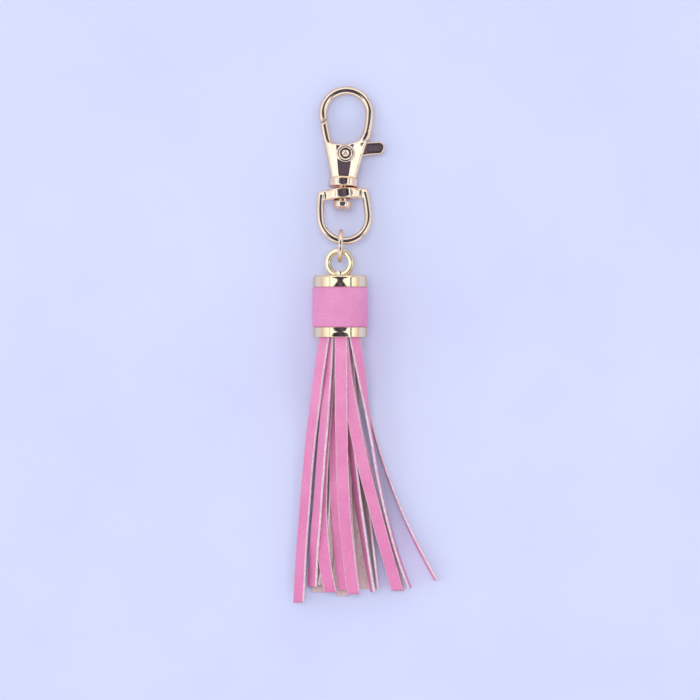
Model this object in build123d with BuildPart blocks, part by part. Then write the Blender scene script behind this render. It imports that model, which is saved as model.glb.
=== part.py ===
from build123d import *
import os
from math import atan2, cos, degrees, pi, radians, sin, sqrt

# Tassel keychain: a swivel trigger clasp, a jump ring and a capped tassel of leather strips.
# It lies on its back on the plane Z = 0. The clasp points along +Y and the strips along -Y.
# The origin is on that plane, under the middle of the keychain's outline. Millimetres.

os.makedirs("parts", exist_ok=True)

# ---- where each group lies -----------------------------------------------------------------
TASSEL_X = -6.3            # the tassel's axis, left of the middle because one strip strays right
CAP_TOP_Y = 17.4           # top face of the tassel's metal cap
CAP_RADIUS = 7.0           # leather band, the widest part of the cap, resting on the floor
HOOK_YAW, HOOK_PITCH = -2.2, -6.7       # the clasp leans right, and its crown dips to the floor
BAIL_YAW, BAIL_PITCH = 3.8, -7.0        # the loose swivel loop leans the other way
RING_YAW = -2.4                         # the jump ring stands on edge
LOOP_TURN = 15.0                        # the cap's loop is turned about the tassel's axis

HOOK = Plane(Location((TASSEL_X + 0.8, 40.45, 3.8), (HOOK_PITCH, 0, HOOK_YAW)))
BAIL = Plane(Location((TASSEL_X + 0.7, 37.85, 4.1), (BAIL_PITCH, 0, BAIL_YAW)))
RING = Plane(
    origin=(TASSEL_X + 0.05, 24.7, 6.2),
    x_dir=(-sin(radians(RING_YAW)), cos(radians(RING_YAW)), 0),
    z_dir=(cos(radians(RING_YAW)), sin(radians(RING_YAW)), 0),
)
CAP = Plane(origin=(TASSEL_X, CAP_TOP_Y, CAP_RADIUS), x_dir=(1, 0, 0), z_dir=(0, -1, 0))
LOOP = Plane(
    origin=(TASSEL_X - 0.15, CAP_TOP_Y + 3.05, CAP_RADIUS),
    x_dir=(cos(radians(LOOP_TURN)), 0, sin(radians(LOOP_TURN))),
    z_dir=(-sin(radians(LOOP_TURN)), 0, cos(radians(LOOP_TURN))),
)

# ---- clasp ---------------------------------------------------------------------------------
EYE_CENTRE = (0.08, 17.3)
EYE_RADIUS = 5.82          # centre line of the hook's round wire
HOOK_WIRE = 1.04
BODY_HALF = 2.4            # half the body's thickness over its flat front
CHEEK_HALF = 1.6           # half its thickness at the edges, where the bevels start
PIVOT = (0.25, 7.17)
RIVET_RADIUS = 1.05
BOSS_RADIUS = 2.2
SLOT_HALF = 1.1
LEVER_HALF = 1.0
LEVER_SWEEP = 10.0         # the gate's tip and the thumb tab end on this circle about the pivot
NOSE_GAP = 0.22
COLLAR_RADIUS = 3.69
COLLAR_TOP, COLLAR_BOTTOM = 1.05, -0.98
POST_RADIUS = 1.25
POST_TOP = 2.55
BUTTON_RADIUS = 2.34
BUTTON_TOP, BUTTON_BOTTOM = -4.75, -6.9
SPRING_X, SPRING_LOW, SPRING_HIGH = 2.6, 2.5, 5.9
SPRING_RADIUS, SPRING_WIRE = 0.6, 0.18

# ---- swivel loop, jump ring and cap loop ---------------------------------------------------
BAIL_WIRE = 0.95
BAIL_HALF_WIDTH = 5.9      # centre line, at the widest place
BAIL_TURN_Y = -6.0         # where the sides pass into the round end
BAR_LENGTH, BAR_HEIGHT, BAR_HALF = 12.7, 2.4, 1.1
SWIVEL_HOLE = 1.55
RING_RADIUS, RING_WIRE = 3.575, 0.6
LOOP_RADIUS, LOOP_THICKNESS, LOOP_DEPTH = 3.0, 1.4, 2.0
SHANK_RADIUS = 1.1

# ---- tassel cap, depths measured down from its top face ------------------------------------
CAP_WALL = 0.9
FLANGE_RADIUS, FLANGE_DEPTH = 6.7, 3.05
SLEEVE_OUTER, SLEEVE_INNER = 6.0, 5.5
BAND_DEPTH = 12.95
MOUTH_DEPTH = 15.5
LIP_RADIUS = 6.0
HEADER_RADIUS, HEADER_TOP, HEADER_DEPTH = 5.4, 1.6, 13.4

# ---- strips --------------------------------------------------------------------------------
STRIP_WIDTH, STRIP_THICKNESS = 3.1, 0.55
STRIP_GAP = 0.08           # least air left over a strip by the next one
MOUTH_Y = CAP_TOP_Y - MOUTH_DEPTH
STRIP_TOP_Y = MOUTH_Y + 0.05
FALL_LENGTH = 24.0         # distance over which the strips sink from the mouth to the floor


def in_hook(x, y, z=0.0):
    """A plane parallel to the clasp's own, moved within it."""
    return HOOK.moved(Location((x, y, z)))


# ---- hook body: round eye, bevelled body with two cheeks, collar ---------------------------
with BuildPart() as hook_body:
    cx, cy = EYE_CENTRE
    with BuildLine(HOOK) as eye_path:
        CenterArc(EYE_CENTRE, EYE_RADIUS, 0, 208)
        ThreePointArc((cx + EYE_RADIUS, cy), (cx + EYE_RADIUS - 0.22, cy - 3.1), (4.9, 11.2))
    with BuildSketch(in_hook(4.9, 11.2).rotated((90, 0, 0))):
        Circle(HOOK_WIRE)
    sweep(path=eye_path.wires()[0])
    with BuildSketch(HOOK):
        with BuildLine():
            Polyline(
                (-3.15, 1.0), (3.35, 1.0), (4.09, 4.19), (4.91, 7.5), (5.63, 10.47), (5.95, 12.5),
                (4.6, 12.5), (3.16, 10.93), (2.1, 10.16), (1.03, 9.75), (-0.6, 9.6), (-2.9, 9.77),
                (-3.6, 9.95), (-5.38, 10.55), close=True,
            )
        make_face()
    extrude(amount=CHEEK_HALF, both=True)
    for side in (1, -1):
        with BuildSketch(HOOK.offset(side * (CHEEK_HALF - 0.02))):
            Polygon((-3.15, 1.0), (3.3, 1.0), (5.2, 9.6), (-5.1, 9.6), align=None)
        with BuildSketch(HOOK.offset(side * BODY_HALF)):
            Polygon((-1.15, 1.0), (1.15, 1.0), (2.1, 9.2), (-2.1, 9.2), align=None)
        loft()
    with BuildSketch(HOOK):
        with Locations(PIVOT):
            Circle(BOSS_RADIUS)
    extrude(amount=BODY_HALF + 0.2, both=True)
    with BuildSketch(HOOK.moved(Plane.XZ.offset(-COLLAR_BOTTOM))):
        Circle(COLLAR_RADIUS)
    extrude(amount=COLLAR_BOTTOM - COLLAR_TOP)
    # the slot for the lever, open to the eye and to the right
    with BuildSketch(HOOK):
        Polygon(
            (-6.8, 12.5), (-6.8, 10.1), (-4.35, 8.7), (-1.6, 4.45), (10.5, 4.45), (10.5, 10.95),
            (3.5, 10.95), (3.0, 12.5), align=None,
        )
    extrude(amount=SLOT_HALF, both=True, mode=Mode.SUBTRACT)
    # the nose ends on an arc about the pivot, so the gate's tip clears it as it swings
    with BuildSketch(HOOK):
        with Locations(PIVOT):
            Circle(LEVER_SWEEP + NOSE_GAP)
        with Locations((-6.0, 13.0)):
            Rectangle(7.0, 8.0, mode=Mode.INTERSECT)
        with Locations((-6.0, 10.0)):
            Rectangle(7.0, 3.0, mode=Mode.SUBTRACT)
    extrude(amount=HOOK_WIRE + 0.2, both=True, mode=Mode.SUBTRACT)
    with BuildSketch(HOOK):
        with Locations(PIVOT):
            Circle(RIVET_RADIUS)
    extrude(amount=BODY_HALF + 1, both=True, mode=Mode.SUBTRACT)
    with BuildSketch(HOOK.moved(Plane.XZ.offset(-COLLAR_BOTTOM))):
        Circle(POST_RADIUS)
    extrude(amount=COLLAR_BOTTOM - POST_TOP, mode=Mode.SUBTRACT)
    # a blind pocket in the slot's floor for the return spring
    with BuildSketch(in_hook(SPRING_X, SPRING_LOW - 0.05).rotated((-90, 0, 0))):
        Circle(SPRING_RADIUS + SPRING_WIRE + 0.1)
    extrude(amount=3.0, mode=Mode.SUBTRACT)
hook_body.part.label = "hook_body"

# ---- gate lever: the gate, its arm, the hub and the thumb tab in one plate -----------------
with BuildPart() as gate_lever:
    with BuildSketch(HOOK):
        Polygon(
            (-6.75, 16.0), (-5.46, 10.67), (-4.3, 9.35), (-1.6, 5.9), (0.25, 5.2), (2.3, 6.15),
            (5.5, 7.18), (10.2, 7.55), (10.2, 10.8), (5.5, 10.43), (3.6, 9.9), (1.0, 9.3),
            (-2.4, 9.4), (-3.49, 10.75), (-4.75, 16.3), align=None,
        )
        with Locations(PIVOT):
            Circle(2.1)
            Circle(LEVER_SWEEP, mode=Mode.INTERSECT)
    extrude(amount=LEVER_HALF, both=True)
    with BuildSketch(HOOK):
        with Locations(PIVOT):
            Circle(RIVET_RADIUS + 0.08)
    extrude(amount=LEVER_HALF, both=True, mode=Mode.SUBTRACT)
gate_lever.part.label = "gate_lever"

# ---- rivet through both cheeks, its heads dimpled ------------------------------------------
with BuildPart() as gate_rivet:
    head_top = BODY_HALF + 0.4
    with BuildSketch(in_hook(PIVOT[0], PIVOT[1]).moved(Plane.XZ)):
        with BuildLine():
            Polyline(
                (0, -head_top + 0.2), (0.8, -head_top), (1.45, -head_top), (1.6, -BODY_HALF - 0.2),
                (RIVET_RADIUS, -BODY_HALF - 0.2), (RIVET_RADIUS, BODY_HALF + 0.2),
                (1.6, BODY_HALF + 0.2), (1.45, head_top), (0.8, head_top), (0, head_top - 0.2),
                close=True,
            )
        make_face()
    revolve(axis=Axis(in_hook(PIVOT[0], PIVOT[1]).origin, HOOK.z_dir))
gate_rivet.part.label = "gate_rivet"

# ---- return spring under the thumb tab -----------------------------------------------------
with BuildPart() as gate_spring:
    turns = 5.5
    spring_foot = in_hook(SPRING_X, SPRING_LOW + SPRING_WIRE).origin
    height = SPRING_HIGH - SPRING_LOW - 2 * SPRING_WIRE
    with BuildLine() as coil:
        Helix(height / turns, height, SPRING_RADIUS, center=spring_foot, direction=HOOK.y_dir)
    with BuildSketch(Plane(origin=coil.line @ 0, z_dir=coil.line % 0)):
        Circle(SPRING_WIRE)
    sweep(path=coil.line, is_frenet=True)
gate_spring.part.label = "gate_spring"

# ---- swivel post: pressed into the clasp, with a domed button under the bar ----------------
with BuildPart() as swivel_post:
    with BuildSketch(HOOK):
        with BuildLine():
            Polyline(
                (0, POST_TOP), (POST_RADIUS, POST_TOP), (POST_RADIUS, BUTTON_TOP),
                (BUTTON_RADIUS - 0.2, BUTTON_TOP), (BUTTON_RADIUS, BUTTON_TOP - 0.2),
                (BUTTON_RADIUS, BUTTON_TOP - 1.3), (1.6, BUTTON_BOTTOM + 0.35),
                (0.8, BUTTON_BOTTOM), (0, BUTTON_BOTTOM), close=True,
            )
        make_face()
    revolve(axis=Axis(HOOK.origin, HOOK.y_dir))
swivel_post.part.label = "swivel_post"

# ---- swivel loop: a round-wire D on a flat bar with a bossed hole --------------------------
with BuildPart() as swivel_bail:
    w, turn = BAIL_HALF_WIDTH, BAIL_TURN_Y
    with BuildLine(BAIL) as bail_path:
        TangentArc((-w, turn), (-w + 0.5, -0.2), tangent=(0, 1))
        CenterArc((0, turn), w, 180, 180)
        TangentArc((w, turn), (w - 0.5, -0.2), tangent=(0, 1))
    bail_wire = bail_path.wires()[0]
    with BuildSketch(Plane(origin=bail_wire @ 0, z_dir=bail_wire % 0)):
        Circle(BAIL_WIRE)
    sweep(path=bail_wire)
    with BuildSketch(BAIL):
        with Locations((0, -0.25)):
            RectangleRounded(BAR_LENGTH, BAR_HEIGHT, 0.9)
    extrude(amount=BAR_HALF, both=True)
    with BuildSketch(BAIL.moved(Plane.XZ.offset(-1.25))):
        Circle(2.3)
    extrude(amount=2.6)
    with BuildSketch(BAIL.moved(Plane.XZ.offset(-2))):
        Circle(SWIVEL_HOLE)
    extrude(amount=4, mode=Mode.SUBTRACT)
swivel_bail.part.label = "swivel_bail"

# ---- jump ring, closed but for its saw cut -------------------------------------------------
with BuildPart() as jump_ring:
    with BuildSketch(RING.moved(Location((0, 0, 0), (90, 0, 0)))):
        with Locations((RING_RADIUS, 0)):
            Circle(RING_WIRE)
    revolve(axis=Axis(RING.origin, RING.z_dir), revolution_arc=358)
jump_ring.part.label = "jump_ring"

# ---- cap loop: a deep ring standing on a shank riveted through the cap ---------------------
with BuildPart() as cap_loop:
    with BuildSketch(LOOP.moved(Location((0, 0, 0), (90, 0, 0)))):
        with Locations((LOOP_RADIUS, 0)):
            RectangleRounded(LOOP_THICKNESS, LOOP_DEPTH, 0.5)
    revolve(axis=Axis(LOOP.origin, LOOP.z_dir))
    with BuildSketch(CAP):
        Circle(2 * LOOP_RADIUS)
    extrude(amount=3, mode=Mode.SUBTRACT)
    with BuildSketch(CAP.offset(-1.0)):
        Circle(SHANK_RADIUS)
    extrude(amount=1.0 + CAP_WALL)
    with BuildSketch(CAP.offset(CAP_WALL)):
        Circle(2.0)
    extrude(amount=0.6)
cap_loop.part.label = "cap_loop"

# ---- top cap: a turned cup with a softened rim ---------------------------------------------
with BuildPart() as top_cap:
    with BuildSketch(CAP.moved(Plane.XZ)):
        with BuildLine():
            Polyline(
                (FLANGE_RADIUS - 0.1, FLANGE_DEPTH), (SLEEVE_OUTER, FLANGE_DEPTH),
                (SLEEVE_OUTER, CAP_WALL), (SHANK_RADIUS, CAP_WALL), (SHANK_RADIUS, 0),
                (FLANGE_RADIUS - 1.0, 0),
            )
            ThreePointArc(
                (FLANGE_RADIUS - 1.0, 0), (FLANGE_RADIUS - 0.29, 0.29), (FLANGE_RADIUS, 1.0)
            )
            ThreePointArc(
                (FLANGE_RADIUS, 1.0), (FLANGE_RADIUS + 0.02, 2.0),
                (FLANGE_RADIUS - 0.1, FLANGE_DEPTH)
            )
        make_face()
    revolve(axis=Axis(CAP.origin, CAP.z_dir))
top_cap.part.label = "top_cap"

# ---- inner sleeve, on which the cap, the band and the ring are pressed ---------------------
with BuildPart() as inner_sleeve:
    with BuildSketch(CAP.offset(CAP_WALL)):
        Circle(SLEEVE_OUTER)
        Circle(SLEEVE_INNER, mode=Mode.SUBTRACT)
    extrude(amount=MOUTH_DEPTH - 0.9 - CAP_WALL)
inner_sleeve.part.label = "inner_sleeve"

# ---- leather band, wrapped once with a butt seam at the back -------------------------------
with BuildPart() as leather_band:
    with BuildSketch(CAP.offset(FLANGE_DEPTH)):
        Circle(CAP_RADIUS)
        Circle(SLEEVE_OUTER, mode=Mode.SUBTRACT)
        with Locations((0, -CAP_RADIUS)):
            Rectangle(0.12, 3.0, mode=Mode.SUBTRACT)
    extrude(amount=BAND_DEPTH - FLANGE_DEPTH)
leather_band.part.label = "leather_band"

# ---- bottom ring: slightly barrelled, with a softened mouth -------------------
with BuildPart() as bottom_ring:
    ring_radius = FLANGE_RADIUS + 0.02
    with BuildSketch(CAP.moved(Plane.XZ)):
        with BuildLine():
            Polyline(
                (ring_radius - 0.15, BAND_DEPTH), (SLEEVE_OUTER, BAND_DEPTH),
                (LIP_RADIUS, MOUTH_DEPTH - 0.3), (LIP_RADIUS + 0.25, MOUTH_DEPTH),
                (ring_radius - 0.4, MOUTH_DEPTH),
            )
            ThreePointArc(
                (ring_radius - 0.4, MOUTH_DEPTH), (ring_radius, MOUTH_DEPTH - 1.2),
                (ring_radius - 0.15, BAND_DEPTH)
            )
        make_face()
    revolve(axis=Axis(CAP.origin, CAP.z_dir))
bottom_ring.part.label = "bottom_ring"

# ---- rolled leather header that the strips are cut from, and the glue above it -------------
with BuildPart() as fringe_header:
    with BuildSketch(CAP.offset(HEADER_TOP)):
        with BuildLine() as roll:
            for half_turn in range(8):
                radius = 1.2 + 0.5 * half_turn
                middle = -0.25 if half_turn % 2 == 0 else 0.25
                CenterArc((middle, 0), radius, 180 * (half_turn % 2), 180)
        trace(line_width=0.9)
    extrude(amount=HEADER_DEPTH - HEADER_TOP)
fringe_header.part.label = "fringe_header"

with BuildPart() as glue_plug:
    with BuildSketch(CAP.offset(CAP_WALL + 0.05)):
        Circle(HEADER_RADIUS)
        Circle(2.05, mode=Mode.SUBTRACT)
    extrude(amount=HEADER_TOP - CAP_WALL - 0.1)
glue_plug.part.label = "glue_plug"

# ---- strips --------------------------------------------------------------------------------
# Each strip leaves the mouth at `root`: its middle's distance from the tassel's axis to the right
# and above, and the turn of its face, 0 being face up and more than 90 either way showing its
# back. Its middle then passes `x12` and `x36`, 12 and 36 mm below the mouth, and ends at `tip_x`,
# `tip_y`. `lean` is its turn half way and at the tip. They are listed from the bottom of the
# pile up, and each one comes to rest on those before it.
STRIPS = [
    # name            root: x, up, turn    x12   x36   tip_x  tip_y  lean
    ("strip_under_1", (-1.85, -5.05, 160), -3.2, -4.6, -5.7, -62.0, (170, 178)),
    ("strip_under_2", (1.85, -5.05, -160), 1.2, 0.4, 0.6, -63.0, (-172, -180)),
    ("strip_under_3", (4.6, -2.7, -120), 3.6, 4.0, 5.8, -61.2, (-172, -180)),
    ("strip_under_4", (-4.6, -2.7, 120), -4.2, -2.6, -2.5, -60.0, (172, 180)),
    ("strip_stray", (4.9, 0.2, 95), 6.3, 13.0, 24.0, -59.0, (86, 78)),
    ("strip_under_5", (1.9, -3.4, -172), 1.4, 0.0, 3.0, -59.5, (-165, -172)),
    ("strip_under_6", (-0.2, -2.7, -178), 0.4, 1.5, -1.4, -60.3, (-170, -172)),
    ("strip_under_7", (-1.9, -2.05, 176), -2.4, -2.0, -4.4, -60.0, (110, 150)),
    ("strip_back_1", (3.3, -0.3, -86), 3.7, 6.1, 9.35, -61.2, (-112, -97)),
    ("strip_core", (0.4, -1.4, 0), 0.6, 1.2, 3.3, -60.8, (8, 4)),
    ("strip_side_1", (-4.6, 0.0, 88), -5.8, -8.2, -10.3, -61.5, (60, 55)),
    ("strip_shade_1", (1.65, 0.4, 60), 1.9, 4.1, 8.1, -61.8, (62, 74)),
    ("strip_shade_2", (-0.94, 1.8, 20), -0.9, -1.0, 1.1, -61.4, (30, 24)),
    ("strip_mid_1", (-2.03, 2.4, 38), -3.0, -4.7, -2.4, -61.9, (14, 2)),
    ("strip_mid_2", (1.1, 3.0, -30), 2.5, 7.7, 14.7, -61.6, (-6, -3)),
    ("strip_left_2", (-2.68, 3.2, 50), -3.45, -5.35, -7.1, -60.5, (50, 48)),
    ("strip_right_2", (3.59, 3.9, -36), 6.0, 10.1, 17.4, -60.8, (-84, -80)),
    ("strip_right_1", (0.5, 4.45, -8), 2.1, 7.3, 14.2, -61.4, (-2, -1)),
    ("strip_left_1", (-3.9, 3.4, 40), -5.95, -8.5, -10.4, -64.5, (38, 32)),
    ("strip_front", (0.17, 5.3, -2), 0.25, 0.75, 3.45, -62.3, (-2, 3)),
]
STATIONS = [
    STRIP_TOP_Y, -0.4, -3, -6, -10, -14.5, -20, -26, -32, -38, -43, -47.5, -51.5, -54.5, -57.5,
]
TIP_HEIGHTS_Y = -59.0      # the tips keep the heights that the pile has here
GRID_STEP, GRID_LEFT, GRID_COUNT = 0.1, -14.0, 421
SIDE_SLOPE = 1.2           # a strip's neighbours also clear a slope this steep beside it


def smooth(t):
    """0 to 1 with level ends."""
    t = min(max(t, 0.0), 1.0)
    return t * t * (3 - 2 * t)


def through(values, y, tip_y):
    """The curve through four values, at the mouth, 12 and 36 mm below it and the tip."""
    knots = (STRIP_TOP_Y, -12.0, -36.0, tip_y)
    total = 0.0
    for i, value in enumerate(values):
        share = 1.0
        for j, knot in enumerate(knots):
            if j != i:
                share *= (y - knot) / (knots[i] - knot)
        total += value * share
    return total


def strip_at(strip, y):
    """How far right of the axis a strip's middle is at y, and its turn in radians."""
    name, root, x12, x36, tip_x, tip_y, lean = strip
    x = through((root[0], x12, x36, tip_x), y, tip_y)
    turn = root[2] + (lean[0] - root[2]) * smooth((STRIP_TOP_Y - y) / 26)
    if y < -36:
        turn = lean[0] + (lean[1] - lean[0]) * smooth((y + 36) / (tip_y + 36))
    return x, radians(turn)


def strip_edges(turn, across):
    """Lowest and highest point of a turned section at `across`, measured from its middle."""
    low, high = -1e9, 1e9
    sides = (
        (STRIP_WIDTH / 2, cos(turn), sin(turn)), (STRIP_THICKNESS / 2, -sin(turn), cos(turn)),
    )
    for reach, along, up in sides:
        if abs(up) > 1e-6:
            first, last = (-reach - across * along) / up, (reach - across * along) / up
            low, high = max(low, min(first, last)), min(high, max(first, last))
    return low, high


def heights_at(y):
    """Height of every strip's middle at y: on the pile below it, or hanging in the mouth."""
    hanging = 1 - smooth((STRIP_TOP_Y - y) / FALL_LENGTH)
    mouth_floor = 1 - smooth((STRIP_TOP_Y - y) / 14.0)
    slope = SIDE_SLOPE + 5 * hanging
    bore = 5.95
    grid = [GRID_LEFT + GRID_STEP * i for i in range(GRID_COUNT)]
    pile = []
    for x in grid:
        spread = x / (bore + 0.15 + 0.3 * (STRIP_TOP_Y - y))
        pile.append((CAP_RADIUS - bore * sqrt(max(0.0, 1 - spread * spread))) * mouth_floor)
    heights = {}
    for strip in STRIPS:
        x, turn = strip_at(strip, y)
        half = (STRIP_WIDTH * abs(cos(turn)) + STRIP_THICKNESS * abs(sin(turn))) / 2
        inside = [i for i in range(GRID_COUNT) if abs(grid[i] - x) < half]
        height = -1e9
        for i in inside:
            low = strip_edges(turn, grid[i] - x)[0]
            for j in range(-30, 31):
                height = max(height, pile[i + j] - slope * GRID_STEP * abs(j) - low)
        height += STRIP_GAP
        height = max(height, height + (CAP_RADIUS + strip[1][1] - height) * hanging)
        heights[strip[0]] = height
        for i in inside:
            pile[i] = height + strip_edges(turn, grid[i] - x)[1]
    return heights


station_heights = [heights_at(y) for y in STATIONS]
tip_heights = heights_at(TIP_HEIGHTS_Y)
strips = []
for strip in STRIPS:
    name, tip_y = strip[0], strip[5]
    sections = []
    for y, heights in zip(STATIONS, station_heights):
        sections.append((y, heights[name]))
    sections.append((tip_y, tip_heights[name]))
    with BuildPart() as strip_part:
        for y, height in sections:
            x, turn = strip_at(strip, y)
            face_line = (cos(turn), 0, sin(turn))
            with BuildSketch(
                Plane(origin=(TASSEL_X + x, y, height), x_dir=face_line, z_dir=(0, -1, 0))
            ):
                Rectangle(STRIP_WIDTH, STRIP_THICKNESS)
        loft(ruled=True)
    strip_part.part.label = name
    strips.append(strip_part)

# ---- files ---------------------------------------------------------------------------------
pieces = [
    hook_body, gate_lever, gate_rivet, gate_spring, swivel_post, swivel_bail, jump_ring,
    cap_loop, top_cap, inner_sleeve, leather_band, bottom_ring, fringe_header, glue_plug,
]
for piece in pieces + strips:
    export_step(piece.part, "parts/" + piece.part.label + ".step")
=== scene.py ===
import bpy
import bmesh
import math
import numpy as np
from mathutils import Matrix, Vector, noise


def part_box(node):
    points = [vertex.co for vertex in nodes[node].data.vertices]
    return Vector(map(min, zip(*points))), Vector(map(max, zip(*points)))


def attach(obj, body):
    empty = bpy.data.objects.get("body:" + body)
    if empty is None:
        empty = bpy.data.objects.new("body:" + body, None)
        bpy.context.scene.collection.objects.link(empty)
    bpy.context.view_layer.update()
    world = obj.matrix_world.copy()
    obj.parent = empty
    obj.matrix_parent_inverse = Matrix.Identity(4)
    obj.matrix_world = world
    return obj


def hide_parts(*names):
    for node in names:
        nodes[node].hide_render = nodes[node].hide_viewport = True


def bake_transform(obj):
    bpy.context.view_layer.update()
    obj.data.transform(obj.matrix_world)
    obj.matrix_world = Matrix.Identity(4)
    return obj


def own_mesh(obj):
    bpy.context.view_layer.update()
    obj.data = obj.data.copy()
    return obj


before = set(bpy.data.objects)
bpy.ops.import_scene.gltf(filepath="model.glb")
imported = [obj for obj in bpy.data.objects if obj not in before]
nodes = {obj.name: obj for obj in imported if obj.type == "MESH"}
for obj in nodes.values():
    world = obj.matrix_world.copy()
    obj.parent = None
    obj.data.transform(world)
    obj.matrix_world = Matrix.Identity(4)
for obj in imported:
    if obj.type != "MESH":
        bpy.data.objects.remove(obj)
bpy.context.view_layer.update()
MM = 0.001


# ---- materials ------------------------------------------------------------------------------
def color_ramp(tree, source, stops):
    """A ramp node fed by source, with stops of (position, colour)."""
    node = tree.nodes.new("ShaderNodeValToRGB")
    elements = node.color_ramp.elements
    while len(elements) < len(stops):
        elements.new(0.5)
    for element, (at, color) in zip(elements, stops):
        element.position, element.color = at, (*color, 1)
    tree.links.new(source, node.inputs["Fac"])
    return node.outputs["Color"]


class Shade:
    """A node material under construction, with short helpers for the usual nodes."""

    def __init__(self, name):
        self.material = bpy.data.materials.new(name)
        self.material.use_nodes = True
        self.tree = self.material.node_tree
        self.shader = self.tree.nodes["Principled BSDF"]
        self.place = self.new("ShaderNodeTexCoord").outputs["Object"]

    def new(self, kind, **settings):
        node = self.tree.nodes.new(kind)
        for key, value in settings.items():
            setattr(node, key, value)
        return node

    def link(self, a, b):
        self.tree.links.new(a, b)

    def stretched(self, scale):
        node = self.new("ShaderNodeMapping")
        node.inputs["Scale"].default_value = scale
        self.link(self.place, node.inputs["Vector"])
        return node.outputs["Vector"]

    def noise(self, per_mm, detail=3.0, rough=0.55, scale=(1, 1, 1)):
        node = self.new("ShaderNodeTexNoise")
        node.inputs["Scale"].default_value = per_mm / MM
        node.inputs["Detail"].default_value = detail
        node.inputs["Roughness"].default_value = rough
        self.link(self.stretched(scale), node.inputs["Vector"])
        return node.outputs["Fac"]

    def cells(self, per_mm, scale=(1, 1, 1), feature="DISTANCE_TO_EDGE"):
        node = self.new("ShaderNodeTexVoronoi", feature=feature)
        node.inputs["Scale"].default_value = per_mm / MM
        self.link(self.stretched(scale), node.inputs["Vector"])
        return node.outputs["Distance"]

    def ramp(self, source, *stops):
        return color_ramp(self.tree, source, stops)

    def spread(self, source, low, high, start=0.3, end=0.7):
        node = self.new("ShaderNodeMapRange")
        node.inputs["From Min"].default_value = start
        node.inputs["From Max"].default_value = end
        node.inputs["To Min"].default_value = low
        node.inputs["To Max"].default_value = high
        self.link(source, node.inputs["Value"])
        return node.outputs["Result"]

    def blended(self, a, b, factor, mode="MIX"):
        node = self.new("ShaderNodeMix", data_type="RGBA", blend_type=mode)
        for socket, value in ((node.inputs[0], factor), (node.inputs[6], a), (node.inputs[7], b)):
            if isinstance(value, bpy.types.NodeSocket):
                self.link(value, socket)
            elif isinstance(value, tuple):
                socket.default_value = (*value, 1)
            else:
                socket.default_value = value
        return node.outputs[2]

    def bump(self, height, strength, depth_mm, under=None):
        node = self.new("ShaderNodeBump")
        node.inputs["Strength"].default_value = strength
        node.inputs["Distance"].default_value = depth_mm * MM
        self.link(height, node.inputs["Height"])
        if under is not None:
            self.link(under, node.inputs["Normal"])
        return node.outputs["Normal"]

    def surface(self, color=None, rough=None, normal=None, **fixed):
        for socket, value in (("Base Color", color), ("Roughness", rough), ("Normal", normal)):
            if isinstance(value, bpy.types.NodeSocket):
                self.link(value, self.shader.inputs[socket])
            elif value is not None:
                self.shader.inputs[socket].default_value = value
        for socket, value in fixed.items():
            self.shader.inputs[socket.replace("_", " ")].default_value = value
        return self.material


def srgb(r, g, b):
    """Linear colour from the usual 0 to 255 numbers."""
    return tuple(((c / 255 + 0.055) / 1.055) ** 2.4 if c > 10 else c / 255 / 12.92 for c in (r, g, b))


def plated(name, deep, pale, rim):
    """Mirror plating over a cast or turned part: slight tone drift, faint waves and rub marks."""
    s = Shade(name)
    tone = s.ramp(s.noise(0.25, 2), (0.3, deep), (0.7, pale))
    rubs = s.noise(1.2, 4, 0.6, (1, 5, 1))
    waves = s.bump(s.noise(0.35, 1), 0.35, 0.02)
    fine = s.bump(rubs, 0.08, 0.004, waves)
    return s.surface(tone, s.spread(rubs, 0.05, 0.12), fine, Metallic=1.0, Specular_Tint=(*rim, 1))


def leather(name, deep, pale, sheen=0.05, painted_tip_shade=(1, 1, 1)):
    """Fine pebbled grain with a little colour drift; painted shade darkens the grain's hollows so the
    tops read lighter, and painted shade can darken the far ends.
    """
    s = Shade(name)
    pebbles = s.cells(2.4, (1, 0.8, 1))
    pores = s.noise(7.0, 3, 0.6)
    drift = s.noise(0.12, 3)
    tone = s.ramp(drift, (0.35, deep), (0.65, pale))
    # painted shade: the grain's hollows darker and the pebble tops lighter
    tone = s.blended(tone, s.spread(pebbles, 0.86, 1.04, 0.0, 0.25), 0.8, "MULTIPLY")
    tone = s.blended(tone, s.spread(pores, 0.92, 1.05), 0.8, "MULTIPLY")
    # painted shade: the colour grows darker and deeper pink towards the far ends, standing in for the
    # light's fall-off along the strips
    parts = s.new("ShaderNodeSeparateXYZ")
    s.link(s.place, parts.inputs[0])
    along = s.spread(parts.outputs["Y"], 1.0, 0.0, -0.055, -0.015)
    tone = s.blended(tone, s.blended((1, 1, 1), painted_tip_shade, along), 1.0, "MULTIPLY")
    grain = s.bump(s.spread(pebbles, 0, 1, 0.0, 0.2), 0.5, 0.04)
    fine = s.bump(pores, 0.3, 0.015, grain)
    return s.surface(tone, s.spread(pores, 0.42, 0.58), fine, Specular_IOR_Level=0.42,
                     Sheen_Weight=sheen, Sheen_Roughness=0.4)


def cut_edge(name, deep, pale):
    """The pale fibrous core that shows where the leather is cut."""
    s = Shade(name)
    fibres = s.noise(2.6, 5, 0.7, (1, 0.35, 1))
    clumps = s.noise(0.7, 3)
    tone = s.ramp(fibres, (0.3, deep), (0.6, pale))
    tone = s.blended(tone, s.spread(clumps, 0.9, 1.04), 0.8, "MULTIPLY")
    return s.surface(tone, 0.9, s.bump(fibres, 0.6, 0.05), Specular_IOR_Level=0.2)


def suede(name, dark, deep, pale):
    """The greige flesh side: napped fibres and small dark specks."""
    s = Shade(name)
    nap = s.noise(1.6, 5, 0.7, (1, 0.3, 1))
    specks = s.cells(0.9, (1, 0.5, 1), "F1")
    tone = s.ramp(nap, (0.28, deep), (0.7, pale))
    tone = s.blended(tone, dark, s.spread(specks, 0.55, 0.0, 0.0, 0.22))
    return s.surface(tone, 0.92, s.bump(nap, 0.7, 0.06), Specular_IOR_Level=0.15,
                     Sheen_Weight=0.15, Sheen_Roughness=0.6)


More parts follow.
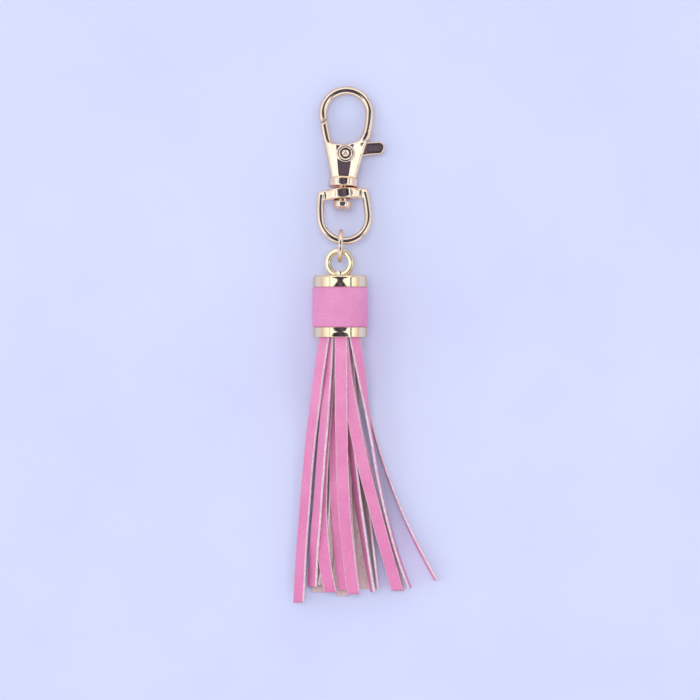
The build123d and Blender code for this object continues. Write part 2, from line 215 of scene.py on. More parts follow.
def plain_metal(name, deep, pale, rough):
    """Drawn or rolled steel that hardly shows."""
    s = Shade(name)
    streaks = s.noise(1.0, 4, 0.6, (1, 8, 1))
    return s.surface(s.ramp(streaks, (0.3, deep), (0.7, pale)), s.spread(streaks, rough, rough + 0.15),
                     s.bump(streaks, 0.2, 0.01), Metallic=1.0)


def dried_glue(name):
    s = Shade(name)
    lumps = s.noise(0.6, 3)
    return s.surface(s.ramp(lumps, (0.3, srgb(196, 178, 142)), (0.7, srgb(222, 208, 176))), 0.5,
                     s.bump(lumps, 0.6, 0.1))


gold = plated("rose_gold", (0.94, 0.76, 0.60), (0.97, 0.82, 0.68), (0.88, 0.62, 0.54))
cap_gold = plated("champagne_gold", (0.95, 0.81, 0.56), (0.97, 0.86, 0.63), (0.86, 0.66, 0.52))
band_pink = leather("band_leather", srgb(232, 143, 195), srgb(239, 155, 204))
# the last colour is painted shade, darkening the strips towards their tips
strip_pink = leather("strip_leather", srgb(238, 143, 193), srgb(245, 154, 202), 0.05, (0.95, 0.84, 0.92))
edge_pale = cut_edge("cut_edge", srgb(212, 174, 192), srgb(248, 224, 236))
back_greige = suede("leather_back", srgb(128, 88, 94), srgb(206, 176, 180), srgb(230, 206, 208))
steel = plain_metal("sleeve_steel", (0.5, 0.5, 0.5), (0.62, 0.62, 0.62), 0.3)
spring_steel = plain_metal("spring_steel", (0.6, 0.6, 0.6), (0.72, 0.72, 0.72), 0.15)
glue = dried_glue("dried_glue")


# ---- mesh helpers ---------------------------------------------------------------------------
def piece(name, verts, faces, materials, body, slot, *replaced, indices=None):
    """A mesh object in metres that stands for CAD nodes and rides on a body."""
    mesh = bpy.data.meshes.new(name)
    mesh.from_pydata([tuple(v) for v in verts], [], faces)
    for material in materials:
        mesh.materials.append(material)
    if indices:
        mesh.polygons.foreach_set("material_index", indices)
    mesh.validate()
    bm = bmesh.new()
    bm.from_mesh(mesh)
    bmesh.ops.recalc_face_normals(bm, faces=bm.faces)
    bm.to_mesh(mesh)
    bm.free()
    mesh.polygons.foreach_set("use_smooth", [True] * len(mesh.polygons))
    obj = bpy.data.objects.new(name, mesh)
    bpy.context.scene.collection.objects.link(obj)
    if replaced:
        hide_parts(*replaced)
    if body:
        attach(obj, body)
    return obj


def middle(node):
    """The centre of a CAD node's box."""
    low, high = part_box(node)
    return (low + high) / 2


MOST_OF_HALF = 0.49  # how far along a side a rounded corner may reach


def rounded(corners, steps):
    """A closed profile with every corner of (radius, height, rounding) rounded off."""
    points = []
    count = len(corners)
    for i, (x, y, r) in enumerate(corners):
        at = Vector((x, y))
        before = Vector(corners[i - 1][:2]) - at
        after = Vector(corners[(i + 1) % count][:2]) - at
        if r <= 0:
            points.append(tuple(at))
            continue
        angle = before.angle(after)
        reach = min(r / math.tan(angle / 2), before.length * MOST_OF_HALF, after.length * MOST_OF_HALF)
        a, b = at + before.normalized() * reach, at + after.normalized() * reach
        for k in range(steps + 1):
            t = k / steps
            points.append(tuple(a * (1 - t) ** 2 + at * 2 * t * (1 - t) + b * t * t))
    return points


def between(a, b, n):
    """Four-sided faces between two rings of n vertices that start at a and b."""
    return [(a + i, a + (i + 1) % n, b + (i + 1) % n, b + i) for i in range(n)]


def lathe(profile, origin, axis, out, count=160, start=0.0, end=360.0):
    """Closed profile of (radius, along axis) turned about an axis; a part turn gets end caps."""
    side = axis.cross(out)
    full = end - start >= 360
    rings = count if full else count + 1
    verts, faces = [], []
    for k in range(rings):
        a = math.radians(start + (end - start) * k / count)
        ray = out * math.cos(a) + side * math.sin(a)
        verts += [origin + (ray * r + axis * h) * MM for r, h in profile]
    n = len(profile)
    for k in range(count):
        faces += between(k * n, ((k + 1) % rings) * n, n)
    if not full:
        faces += [tuple(range(n)), tuple(range((rings - 1) * n, rings * n))]
    return verts, faces


def cast(node, body, material, voxel, softening):
    """A CAD node's shape with its edges softened as a cast and tumbled part's are."""
    source = nodes[node]
    mesh = source.data.copy()
    mesh.materials.clear()
    obj = bpy.data.objects.new(node + "_cast", mesh)
    bpy.context.scene.collection.objects.link(obj)
    mesh.transform(Matrix.Scale(1 / MM, 4))
    remesh = obj.modifiers.new("remesh", "REMESH")
    remesh.mode = "VOXEL"
    remesh.voxel_size = voxel
    soft = obj.modifiers.new("soft", "SMOOTH")
    soft.factor = 0.5
    soft.iterations = softening
    done = bpy.data.meshes.new_from_object(obj.evaluated_get(bpy.context.evaluated_depsgraph_get()))
    obj.modifiers.clear()
    obj.data = done
    done.transform(Matrix.Scale(MM, 4))
    done.materials.clear()
    done.materials.append(material)
    done.polygons.foreach_set("use_smooth", [True] * len(done.polygons))
    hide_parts(node)
    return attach(obj, body)


# ---- cast shapes as distance fields, in millimetres in a part's own plane --------------------
class Field:
    """Distances on a grid, negative inside the metal, with u right, v along the part and w up."""

    def __init__(self, low, high, step):
        self.low, self.step = np.array(low, float), step
        u, v, w = (np.arange(a, b + step, step) for a, b in zip(low, high))
        self.u, self.v = np.meshgrid(u, v, indexing="ij")
        self.w = w[None, None, :]
        self.deep_u, self.deep_v = self.u[:, :, None], self.v[:, :, None]

    def line(self, points):
        """Distance to a run of straight pieces in the plane."""
        best = np.full(self.u.shape, 1e9)
        for (ax, ay), (bx, by) in zip(points, points[1:]):
            ex, ey = bx - ax, by - ay
            t = np.clip(((self.u - ax) * ex + (self.v - ay) * ey) / (ex * ex + ey * ey), 0, 1)
            best = np.minimum(best, np.hypot(self.u - ax - t * ex, self.v - ay - t * ey))
        return best

    def polygon(self, points):
        """Signed distance to a closed outline in the plane."""
        inside = np.zeros(self.u.shape, bool)
        for (ax, ay), (bx, by) in zip(points, points[1:] + points[:1]):
            if ay != by:
                crossing = (bx - ax) * (self.v - ay) / (by - ay) + ax
                inside ^= ((ay > self.v) != (by > self.v)) & (self.u < crossing)
        distance = self.line(points + points[:1])
        return np.where(inside, -distance, distance)

    def disc(self, at, radius):
        return np.hypot(self.u - at[0], self.v - at[1]) - radius

    def plate(self, flat, half, radius):
        """A flat shape given thickness, its edges rounded; half and radius may vary over it."""
        half, radius = (x[:, :, None] if isinstance(x, np.ndarray) else x for x in (half, radius))
        a, b = flat[:, :, None] + radius, np.abs(self.w) - half + radius
        return np.minimum(np.maximum(a, b), 0) + np.hypot(np.maximum(a, 0), np.maximum(b, 0)) - radius

    def wire(self, points, radius):
        return np.hypot(self.line(points)[:, :, None], self.w) - radius[:, :, None]

    def drum(self, at_u, low, high, wide, deep, radius):
        """A turned or oval solid along v."""
        round_part = (np.hypot((self.deep_u - at_u) / wide, self.w / deep) - 1) * min(wide, deep)
        a, b = round_part + radius, np.abs(self.deep_v - (low + high) / 2) - (high - low) / 2 + radius
        return np.minimum(np.maximum(a, b), 0) + np.hypot(np.maximum(a, 0), np.maximum(b, 0)) - radius

    def shell(self, field, place):
        """The surface where the field is zero, as vertices in metres and four-sided faces."""
        solid = field < 0
        shape = tuple(n - 1 for n in field.shape)
        total, hits = np.zeros((*shape, 3)), np.zeros(shape)
        crossings = []
        for axis in range(3):
            first = [slice(None)] * 3
            second = [slice(None)] * 3
            first[axis], second[axis] = slice(0, -1), slice(1, None)
            a, b = field[tuple(first)], field[tuple(second)]
            change = solid[tuple(first)] != solid[tuple(second)]
            t = np.where(change, a / np.where(change, a - b, 1), 0)
            crossings.append(change)
            others = [k for k in range(3) if k != axis]
            for p in (0, 1):
                for q in (0, 1):
                    part = [slice(None)] * 3
                    part[others[0]] = slice(p, p + shape[others[0]])
                    part[others[1]] = slice(q, q + shape[others[1]])
                    here, move = change[tuple(part)], t[tuple(part)]
                    hits += here
                    total[..., axis] += move
                    total[..., others[0]] += p * here
                    total[..., others[1]] += q * here
        used = hits > 0
        number = np.full(shape, -1)
        number[used] = np.arange(used.sum())
        corner = np.argwhere(used)
        points = self.low + self.step * (corner + total[used] / hits[used][:, None])
        faces = []
        for axis, change in enumerate(crossings):
            b, c = (k for k in range(3) if k != axis)
            at = np.argwhere(change)
            at = at[(at[:, b] > 0) & (at[:, c] > 0) & (at[:, b] < shape[b]) & (at[:, c] < shape[c])]
            around = []
            for p, q in ((1, 1), (0, 1), (0, 0), (1, 0)):
                cell = at.copy()
                cell[:, b] -= p
                cell[:, c] -= q
                around.append(number[cell[:, 0], cell[:, 1], cell[:, 2]])
            faces.append(np.stack(around, 1))
        turn = np.array(place.to_3x3())
        verts = points @ turn.T * MM + np.array(place.translation)
        return verts.tolist(), np.concatenate(faces).tolist()


def joined(a, b, k):
    """Both solids, with a fillet of about k where they meet."""
    h = np.clip(0.5 + 0.5 * (b - a) / k, 0, 1)
    return b * (1 - h) + a * h - k * h * (1 - h)


def shared(a, b, k):
    return -joined(-a, -b, k)


def plane(x, y, z, pitch, yaw):
    """A part's own plane in the row frame, from millimetres and degrees."""
    turn = Matrix.Rotation(math.radians(pitch), 4, "X") @ Matrix.Rotation(math.radians(yaw), 4, "Z")
    return Matrix.Translation(Vector((x, y, z)) * MM) @ turn


def arc(at, radius, start, end, count=60):
    turns = [math.radians(start + (end - start) * k / count) for k in range(count + 1)]
    return [(at[0] + radius * math.cos(a), at[1] + radius * math.sin(a)) for a in turns]


# ---- clasp ----------------------------------------------------------------------------------
HOOK = plane(-5.5, 40.45, 3.8, -6.7, -2.2)
BAIL = plane(-5.6, 37.85, 4.1, -7.0, 3.8)
PIVOT = (0.25, 7.17)  # the gate's axis in the clasp's plane
SWEEP = 10.0  # how far from the pivot the gate's end sweeps
WIRE_R = 1.09
BODY_HALF = 2.4  # half thickness of the body on its flat
FACET_FALL = 0.355  # how much of that a side facet loses per millimetre
SLOT_HALF = 1.1
COIL_AT = 2.6  # the return spring's place across the clasp

f = Field((-7.6, -1.6, -4.2), (7.4, 25.0, 4.2), 0.12)
# the eye's wire, from its nose round and down the right flank
eye = arc((0.08, 17.55), 5.86, 206, 0)
eye += [(5.91, 16.2), (5.80, 15.0), (5.60, 13.6), (5.28, 12.3), (4.87, 11.0), (4.35, 9.6), (4.0, 8.4)]
outline = [(-3.05, 1.1), (3.25, 1.1), (4.0, 4.19), (4.8, 7.5), (5.5, 10.2), (5.85, 12.5), (4.95, 12.5),
           (3.3, 10.75), (2.1, 10.1), (1.0, 9.72), (-0.6, 9.55), (-2.9, 9.7), (-3.9, 10.0), (-5.3, 10.5)]
# the body widens upwards: a flat middle, a facet to each side, and a thinner top
rise = np.clip((f.v - 1) / 8.2, 0, 1)
flat = 1.15 + 0.95 * rise
edge = np.where(f.u > 0, 3.3, 3.1) + 2.0 * rise
facet = np.clip(np.abs(f.u) - flat, 0, 1.4 * (edge - flat))
half = BODY_HALF - FACET_FALL * facet - 0.55 * np.clip((f.v - 10.1) / 2.2, 0, 1)
body = shared(f.polygon(outline)[:, :, None] * np.ones_like(f.w), np.abs(f.w) - half[:, :, None], 0.7)
neck = np.clip((13.2 - f.v) / 3.2, 0, 1) * (f.u > 0)
hook = joined(f.wire(eye, WIRE_R + 0.1 * neck * neck * (3 - 2 * neck)), body, 0.75)
# the boss round the rivet, and the collar
hook = joined(hook, f.plate(f.disc(PIVOT, 2.2), 2.6, 0.35), 0.12)
hook = joined(hook, f.drum(0, -0.98, 1.05, 3.69, 3.69, 0.22), 0.2)
# the slot between the cheeks, and the nose cut back from the gate's sweep
slot = [(-8, 12.5), (-6.8, 10.1), (-4.35, 8.7), (-1.6, 4.45), (10.5, 4.45), (10.5, 10.95), (3.5, 10.95),
        (3.0, 12.5)]
hook = shared(hook, -f.plate(f.polygon(slot), SLOT_HALF, 0.05), 0.12)
nose = np.maximum(f.disc(PIVOT, SWEEP + 0.22), np.maximum(f.u + 2.5, 11.6 - f.v))
hook = shared(hook, -nose[:, :, None] * np.ones_like(f.w), 0.3)
# the spring's pocket, the rivet's bore and the swivel pin's bore
hook = shared(hook, -f.drum(COIL_AT, 2.45, 5.45, 0.88, 0.88, 0.05), 0.05)
hook = shared(hook, -f.plate(f.disc(PIVOT, 1.06), 4.0, 0.02), 0.05)
hook = shared(hook, -f.drum(0, -3.0, 2.55, 1.26, 1.26, 0.02), 0.05)
verts, faces = f.shell(hook, HOOK)
piece("hook_casting", verts, faces, [gold], "hook", "rose_gold_plate", "hook_body")

f = Field((-7.2, 4.6, -1.3), (10.4, 16.6, 1.3), 0.1)
# the gate's arm, ending on its sweep; the hub; the thumb tab
arm = f.line([(-5.72, 16.0), (-4.47, 10.7), (-3.4, 8.9), (0.25, 7.17)]) - 1.02
arm = np.maximum(arm, f.disc(PIVOT, SWEEP))
tab = f.polygon([(0.5, 7.2), (5.6, 8.62), (8.55, 8.9), (8.58, 9.3), (5.5, 9.02), (0.5, 8.0)]) - 1.42
blade = joined(joined(f.disc(PIVOT, 2.1), arm, 0.5), tab, 0.5)
# the arm is round like the wire, the tab flat-faced with a shallow recess
lean = np.clip((f.u + 2.2) / 4, 0, 1)
lever = f.plate(blade, 1.0, 0.96 - 0.5 * lean * lean * (3 - 2 * lean))
on_tab = np.clip((f.u - 5.4) / 0.8, 0, 1) * np.clip(-0.45 - blade, 0, 0.3) / 0.3
lever = lever + (0.05 * on_tab)[:, :, None]
lever = shared(lever, -f.plate(f.disc(PIVOT, 1.13), 3.0, 0.02), 0.05)
verts, faces = f.shell(lever, HOOK)
piece("lever_casting", verts, faces, [gold], "gate", "rose_gold_plate", "gate_lever")

# the swivel loop: a D of wire, and a bar that thins towards its ends round an oval boss
f = Field((-7.3, -13.4, -2.8), (7.3, 2.2, 2.8), 0.11)
side = [(-6.02 + (y + 6) ** 2 / 60, y) for y in (-0.3, -1.3, -2.3, -3.3, -4.3, -5.2)]
loop = side + arc((0, -6), 6.02, 180, 360) + [(-x, y) for x, y in reversed(side)]
fall = np.clip((np.abs(f.u) - 2.4) / 2.6, 0, 1)
thick = 1.15 - 0.6 * fall * fall * (3 - 2 * fall)
bar = f.polygon([(-5.35, 0.05), (-5.35, -0.55), (5.35, -0.55), (5.35, 0.05)]) - 0.98
bar = f.plate(bar, thick, 0.92 * thick)
bail = joined(f.wire(loop, np.full(f.u.shape, 0.96)), bar, 0.5)
bail = joined(bail, f.drum(0, -1.42, 1.28, 3.5, 2.3, 0.45), 0.8)
bail = shared(bail, -f.drum(0, -3.0, 3.0, 1.55, 1.55, 0.05), 0.15)
verts, faces = f.shell(bail, BAIL)
piece("bail_casting", verts, faces, [gold], "bail", "rose_gold_plate", "swivel_bail")

# the swivel pin: shank, neck and button
hook_y, hook_z = HOOK.col[1].to_3d(), HOOK.col[2].to_3d()
profile = rounded(
    [(0.02, 2.5, 0), (1.24, 2.5, 0.05), (1.24, -4.7, 0.2), (2.34, -4.75, 0.35), (2.34, -6.1, 0.3),
     (1.65, -6.6, 0.6), (0.9, -6.9, 0.2), (0.02, -6.9, 0)], 6)
verts, faces = lathe(profile, HOOK.translation, hook_y, hook_z, 96)
piece("swivel_pin", verts, faces, [gold], "hook", "rose_gold_plate", "swivel_post")

# the rivet: the same dimpled head on both cheeks
head = [(1.04, 2.5, 0.02), (1.72, 2.5, 0.05), (1.68, 2.66, 0.1), (1.4, 2.84, 0.15), (0.86, 2.8, 0.08),
        (0.4, 2.52, 0.06)]
mirrored = [(r, -h, k) for r, h, k in head]
profile = rounded([(0.02, 2.54, 0)] + head[::-1] + mirrored + [(0.02, -2.54, 0)], 5)
verts, faces = lathe(profile, HOOK @ Vector((PIVOT[0] * MM, PIVOT[1] * MM, 0)), hook_z, hook_y, 96)
piece("gate_pin", verts, faces, [gold], "hook", "rose_gold_plate", "gate_rivet")

# return spring: a wire coil under the thumb tab, given its own mesh; the real one shortens as the gate
# opens
COIL_TURNS, COIL_LOW, COIL_HIGH, COIL_R, COIL_WIRE = 5.5, 2.68, 5.72, 0.6, 0.18
COIL_STEPS, WIRE_SIDES = 132, 8
verts, faces = [], []
for k in range(COIL_STEPS + 1):
    a = 2 * math.pi * COIL_TURNS * k / COIL_STEPS
    out = Vector((math.cos(a), 0, -math.sin(a)))
    at = Vector((COIL_AT, COIL_LOW + (COIL_HIGH - COIL_LOW) * k / COIL_STEPS, 0)) + out * COIL_R
    for q in range(WIRE_SIDES):
        b = 2 * math.pi * q / WIRE_SIDES
        verts.append(HOOK @ ((at + (out * math.cos(b) + Vector((0, math.sin(b), 0))) * COIL_WIRE) * MM))
    if k:
        faces += between((k - 1) * WIRE_SIDES, k * WIRE_SIDES, WIRE_SIDES)
last_ring = COIL_STEPS * WIRE_SIDES
faces += [tuple(range(WIRE_SIDES)), tuple(range(last_ring, last_ring + WIRE_SIDES))]
coil = piece("return_spring", verts, faces, [spring_steel], "hook", "spring_steel", "gate_spring")
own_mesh(coil)

cast("jump_ring", "ring", gold, 0.06, 3)
cast("cap_loop", "tassel_cap", cap_gold, 0.08, 4)

# ---- cap: flange, leather band and bottom ring, turned about the tassel's axis --------------
axis_at = middle("leather_band")
DOWN, UP = Vector((0, -1, 0)), Vector((0, 0, 1))
SLEEVE_R, BORE_R, MOUTH_R, TOP_THICK = 6.02, 1.15, 6.28, 0.9  # millimetres
SEAM_GAP = 1.2  # degrees between the band's butted ends, at the back
flange_low, flange_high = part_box("top_cap")
ring_low, ring_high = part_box("bottom_ring")
cap_top = Vector((axis_at.x, flange_high.y, axis_at.z))
flange_r = (flange_high.x - flange_low.x) / 2 / MM
flange_h = (flange_high.y - flange_low.y) / MM
ring_r = (ring_high.x - ring_low.x) / 2 / MM
band_low, band_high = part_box("leather_band")
band_top = (cap_top.y - band_high.y) / MM
band_end = (cap_top.y - band_low.y) / MM
band_r = (band_high.x - band_low.x) / 2 / MM
mouth = (cap_top.y - ring_low.y) / MM

profile = rounded(
    [(BORE_R, 0, 0.05), (flange_r, 0, 1.1), (flange_r, flange_h * 0.6, 0),
     (flange_r - 0.08, flange_h, 0.25),
     (SLEEVE_R, flange_h, 0.05), (SLEEVE_R, TOP_THICK, 0.05), (BORE_R, TOP_THICK, 0.05)], 8)
verts, faces = lathe(profile, cap_top, DOWN, UP)
piece("cap_flange", verts, faces, [cap_gold], "tassel_cap", "rose_gold_plate", "top_cap")

profile = rounded(
    [(SLEEVE_R, band_end, 0.05), (ring_r - 0.1, band_end, 0.25), (ring_r, (band_end + mouth) / 2, 3.0),
     (ring_r - 0.15, mouth, 0.45), (MOUTH_R, mouth, 0.12), (SLEEVE_R, mouth - 0.3, 0.1)], 8)
verts, faces = lathe(profile, cap_top, DOWN, UP)
piece("cap_mouth_ring", verts, faces, [cap_gold], "tassel_cap", "rose_gold_plate", "bottom_ring")

profile = rounded(
    [(SLEEVE_R, band_top, 0.05), (band_r - 0.06, band_top + 0.02, 0.3),
     (band_r, (band_top + band_end) / 2, 8), (band_r - 0.06, band_end - 0.02, 0.3),
     (SLEEVE_R, band_end, 0.05)], 8)
verts, faces = lathe(profile, cap_top, DOWN, -UP, 200, SEAM_GAP / 2, 360 - SEAM_GAP / 2)
piece("cap_band", verts, faces, [band_pink], "tassel_cap", "band_leather", "leather_band")


# ---- strips, in millimetres -----------------------------------------------------------------
STRIP_WIDE, STRIP_THICK = 3.1, 0.55
HALF_THICK, BEVEL = 0.27, 0.07
INTO_CAP, DRAWN_IN = 2.2, 0.9  # how far a strip goes on up into the cap, and how it nears the axis
FACE_STEPS, LENGTH_STEPS, HELD_STEPS = 8, 110, 30  # a strip is held straight over the held steps
SIDE_WAVE, TWIST_WAVE, CUP_WAVE, CUP = 0.10, 0.07, 0.10, 0.05
RAGGED, SLANT, SLANT_POWER = 0.03, 0.35, 30
PINK, EDGE, BACK = 0, 1, 2  # places in a strip's list of materials


def sections_of(node):
    """The CAD strip's sections, mouth first: y, middle, the way across it, face direction."""
    levels = {}
    for v in nodes[node].data.vertices:
        level = levels.setdefault(round(v.co.y / MM, 2), set())
        level.add((round(v.co.x / MM, 3), round(v.co.z / MM, 3)))
    sections = []
    for y in sorted(levels, reverse=True):
        points = [Vector(p) for p in levels[y]]
        if len(points) != 4:
            continue
        first = points[0]
        near = sorted(points[1:], key=lambda p: (p - first).length)
        through, across = near[0] - first, near[1] - first
        if abs(through.length - STRIP_THICK) > 0.02 or abs(across.length - STRIP_WIDE) > 0.05:
            continue
        sections.append((y, sum(points, Vector((0, 0))) / 4, across, through.normalized()))
    return sections


FACING = {  # where the pink face looks at the tip, for the strips that don't lie face up
    "strip_stray": (-1, 0), "strip_right_2": (1, 0), "strip_back_1": (1, 0), "strip_shade_1": (-1, 0),
    "strip_side_1": (-1, 0),
}


def eased(values, at, positions):
    """Catmull-Rom through values at falling positions."""
    k = 0
    while k < len(positions) - 2 and at < positions[k + 1]:
        k += 1
    t = (at - positions[k]) / (positions[k + 1] - positions[k])
    span = positions[k + 1] - positions[k]

    def slope(i):
        if i == 0 or i == len(values) - 1:
            a, b = (0, 1) if i == 0 else (i - 1, i)
            return (values[b] - values[a]) / (positions[b] - positions[a])
        return (values[i + 1] - values[i - 1]) / (positions[i + 1] - positions[i - 1])

    return (values[k] * (2 * t ** 3 - 3 * t ** 2 + 1) + slope(k) * span * (t ** 3 - 2 * t ** 2 + t)
            + values[k + 1] * (3 * t ** 2 - 2 * t ** 3) + slope(k + 1) * span * (t ** 3 - t ** 2))


def strip(node, seed):
    """A leather strip along the CAD strip: pink face, pale cut edges, napped back."""
    sections = sections_of(node)
    look = Vector(FACING.get(node, (0, -1) if "_under_" in node else (0, 1)))
    turns = []
    for _, _, _, normal in reversed(sections):
        if normal.dot(look) < 0:
            normal = -normal
        look = normal
        turn = math.atan2(normal.x, normal.y)
        if turns:
            turn += 2 * math.pi * round((turns[-1] - turn) / (2 * math.pi))
        turns.append(turn)
    turns.reverse()
    ys = [s[0] for s in sections]
    xs, zs = [s[1].x for s in sections], [s[1].y for s in sections]
    # the strip goes on up into the cap, drawn a little towards its axis
    inside = ys[0] + INTO_CAP
    xs.insert(0, axis_at.x / MM + (xs[0] - axis_at.x / MM) * DRAWN_IN)
    zs.insert(0, axis_at.z / MM + (zs[0] - axis_at.z / MM) * DRAWN_IN)
    ys.insert(0, inside)
    turns.insert(0, turns[0])
    half_w = sections[0][2].length / 2
    # the pink face is drawn back a little from the cut edges, more on the right
    left, right = -half_w + 0.12, half_w - 0.24
    low, high = -HALF_THICK, HALF_THICK
    rows = [(-half_w, low + BEVEL), (-half_w, high - 0.2), (-half_w + 0.04, high - 0.06)]
    rows += [(left + (right - left) * i / FACE_STEPS, high) for i in range(FACE_STEPS + 1)]
    rows += [(half_w - 0.07, high - 0.09), (half_w, high - 0.26), (half_w, low + BEVEL)]
    back = half_w - BEVEL
    rows += [(back - (2 * half_w - 2 * BEVEL) * i / FACE_STEPS, low) for i in range(FACE_STEPS + 1)]
    n = len(rows)
    kinds = []
    for i in range(n):
        ends = rows[i][1], rows[(i + 1) % n][1]
        kinds.append(PINK if ends == (high, high) else BACK if ends == (low, low) else EDGE)
    slant = SLANT * noise.noise(Vector((seed, 3.1, 0)))
    verts, faces, indices = [], [], []
    for k in range(LENGTH_STEPS + 1):
        y = inside + (ys[-1] - inside) * k / LENGTH_STEPS
        x, z, turn = eased(xs, y, ys), eased(zs, y, ys), eased(turns, y, ys)
        free = min(1.0, k / HELD_STEPS)
        x += SIDE_WAVE * free * noise.noise(Vector((seed * 7.3, y * 0.09, 0)))
        turn += TWIST_WAVE * free * noise.noise(Vector((seed * 3.7, y * 0.11, 5)))
        cup = CUP_WAVE * free * noise.noise(Vector((seed * 5.1, y * 0.05, 9))) + CUP
        normal = Vector((math.sin(turn), 0, math.cos(turn)))
        across = Vector((math.cos(turn), 0, -math.sin(turn)))
        for u, v in rows:
            lift = -cup * (u / half_w) ** 2 + cup * 0.4
            ragged = 0
            if abs(u) > half_w - 0.1:
                ragged = RAGGED * noise.noise(Vector((seed + u * 0.2, y * 1.3, v)))
            at = Vector((x, y, z)) + across * (u + ragged * math.copysign(1, u)) + normal * (v + lift)
            at.y += slant * u * (k / LENGTH_STEPS) ** SLANT_POWER
            verts.append(at * MM)
        if k:
            faces += between((k - 1) * n, k * n, n)
            indices += kinds
    faces += [tuple(range(n)), tuple(range(LENGTH_STEPS * n, (LENGTH_STEPS + 1) * n))]
    indices += [EDGE, EDGE]
    obj = piece(node.replace("strip", "leather"), verts, faces, [strip_pink, edge_pale, back_greige],
                None, "strip_leather", node, indices=indices)
    seams = [kinds[i] != kinds[i - 1] for i in range(n)]
    sharp = [seams[e.vertices[0] % n] and abs(e.vertices[0] - e.vertices[1]) == n for e in obj.data.edges]
    attribute = obj.data.attributes.new("sharp_edge", "BOOLEAN", "EDGE")
    attribute.data.foreach_set("value", sharp)
    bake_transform(obj)


for number, node in enumerate(sorted(n for n in nodes if n.startswith("strip_"))):
    strip(node, number + 1.0)

# ---- pieces that keep their CAD shape -------------------------------------------------------
for node, material in (("inner_sleeve", steel), ("fringe_header", strip_pink), ("glue_plug", glue)):
    nodes[node].data.materials.clear()
    nodes[node].data.materials.append(material)

# ---- floor, light and camera ----------------------------------------------------------------
floor_shade = Shade("floor")
floor_drift = floor_shade.noise(0.02, 3)
floor_tint = floor_shade.ramp(floor_drift, (0.3, (0.645, 0.680, 0.945)), (0.7, (0.690, 0.725, 0.970)))
floor_material = floor_shade.surface(floor_tint, 0.9, Specular_IOR_Level=0.05)
FAR = 2  # metres from the middle to each side of the floor
verts = [Vector((x, y, 0)) for x, y in ((-FAR, -FAR), (FAR, -FAR), (FAR, FAR), (-FAR, FAR))]
mesh = bpy.data.meshes.new("floor")
mesh.from_pydata(verts, [], [(0, 1, 2, 3)])
mesh.materials.append(floor_material)
floor = bpy.data.objects.new("floor", mesh)
bpy.context.scene.collection.objects.link(floor)


def soft_box(name, at, width, height, watts):
    """An area light that faces the origin and isn't mirrored in the plating."""
    light = bpy.data.lights.new(name, "AREA")
    light.shape = "RECTANGLE"
    light.size, light.size_y = width, height
    light.energy = watts
    obj = bpy.data.objects.new(name, light)
    obj.location = at
    obj.rotation_mode = "QUATERNION"
    obj.rotation_quaternion = (-Vector(at)).to_track_quat("-Z", "Y")
    obj.visible_glossy = False
    bpy.context.scene.collection.objects.link(obj)


soft_box("box_left", (-0.5, 0.1, 0.7), 0.9, 1.2, 0.60)
soft_box("box_right", (0.5, 0.1, 0.7), 0.9, 1.2, 0.30)
soft_box("box_top", (-0.1, 0.25, 1.95), 0.9, 0.9, 12.0)

world = bpy.data.worlds.new("studio")
bpy.context.scene.world = world
world.use_nodes = True
tree = world.node_tree


def world_node(kind, *inputs, **settings):
    """A node with its settings made and its inputs, by name or number, set or linked."""
    node = tree.nodes.new(kind)
    for key, value in settings.items():
        setattr(node, key, value)
    for socket, value in inputs:
        if isinstance(value, bpy.types.NodeSocket):
            tree.links.new(value, node.inputs[socket])
        else:
            node.inputs[socket].default_value = value
    return node


def world_math(operation, *values):
    return world_node("ShaderNodeMath", *enumerate(values), operation=operation).outputs[0]


def world_range(value, low, high):
    node = world_node("ShaderNodeMapRange", ("Value", value), ("From Min", low), ("From Max", high))
    return node.outputs["Result"]


around = world_node("ShaderNodeTexCoord").outputs["Generated"]
split = world_node("ShaderNodeSeparateXYZ", (0, around))
sideways = world_range(split.outputs["X"], -1, 1)

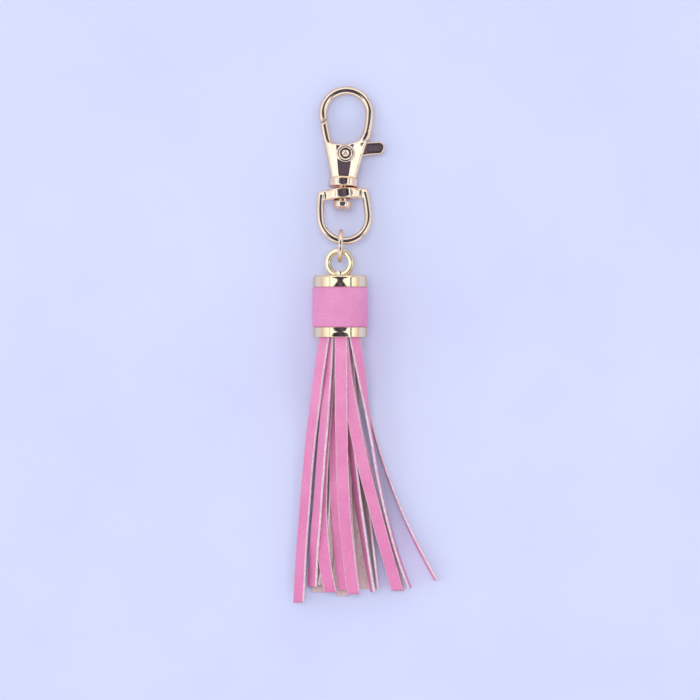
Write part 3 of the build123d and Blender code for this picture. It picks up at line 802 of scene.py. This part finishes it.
# a dark ceiling right above, waisted along X; bright cloth round it; a dimmer warm horizon
squeezed = world_node("ShaderNodeMapping", ("Vector", around), ("Scale", (1.15, 1, 0))).outputs["Vector"]
reach = world_node("ShaderNodeVectorMath", (0, squeezed), operation="LENGTH").outputs["Value"]
past_ceiling = world_range(reach, 0.66, 0.76)
wide = world_math("MULTIPLY", world_math("ABSOLUTE", split.outputs["X"]), 1.35)
deep = world_math("MULTIPLY", world_math("ABSOLUTE", split.outputs["Y"]), 2.2)
past_waist = world_range(world_math("SUBTRACT", wide, deep), 0.18, 0.29)
lit = world_math("MAXIMUM", past_ceiling, past_waist)
patches = world_node("ShaderNodeTexNoise", ("Vector", around), ("Scale", 5.0), ("Detail", 3.0))
ceiling = color_ramp(tree, patches.outputs["Fac"], (
    (0.35, (0.040, 0.031, 0.052)), (0.52, (0.076, 0.063, 0.108)), (0.68, (0.19, 0.16, 0.23))))
cloth = color_ramp(tree, split.outputs["Z"], (
    (0.0, (0.84, 0.62, 0.54)), (0.12, (0.92, 0.72, 0.64)), (0.27, (1.05, 0.96, 0.90)),
    (0.45, (1.12, 1.16, 1.14)), (0.60, (1.20, 1.31, 1.34)), (1.0, (1.20, 1.31, 1.34))))
room = world_node("ShaderNodeMix", (0, lit), (6, ceiling), (7, cloth), data_type="RGBA").outputs[2]
# gaps between the cloths, to the left and to the right
gaps = color_ramp(tree, sideways, (
    (0.0, (0.9, 0.9, 0.9)), (0.12, (1, 1, 1)), (0.145, (0.50, 0.44, 0.42)), (0.17, (1, 1, 1)),
    (0.83, (1, 1, 1)), (0.85, (0.22, 0.18, 0.19)), (0.875, (0.24, 0.20, 0.20)), (0.90, (1, 1, 1)),
    (1.0, (0.85, 0.85, 0.85))))
shown = world_node("ShaderNodeMix", (0, 1.0), (6, room), (7, gaps), data_type="RGBA",
                   blend_type="MULTIPLY").outputs[2]
tree.links.new(shown, tree.nodes["Background"].inputs["Color"])
tree.nodes["Background"].inputs["Strength"].default_value = 0.97

camera_data = bpy.data.cameras.new("camera")
camera = bpy.data.objects.new("camera", camera_data)
bpy.context.scene.collection.objects.link(camera)
bpy.context.scene.camera = camera
SCALE_PLANE = 0.004  # height above the floor at which SEEN_WIDTH holds
DISTANCE = 1.6
SEEN_WIDTH = 0.175
SENSOR = 36
camera.location = (-0.00385, -0.0013, SCALE_PLANE + DISTANCE)
camera.rotation_euler = (0, 0, 0)
camera_data.sensor_width = SENSOR
camera_data.lens = SENSOR * DISTANCE / SEEN_WIDTH
camera_data.clip_start = 0.05
camera_data.clip_end = 20
bpy.context.scene.view_settings.view_transform = "Standard"
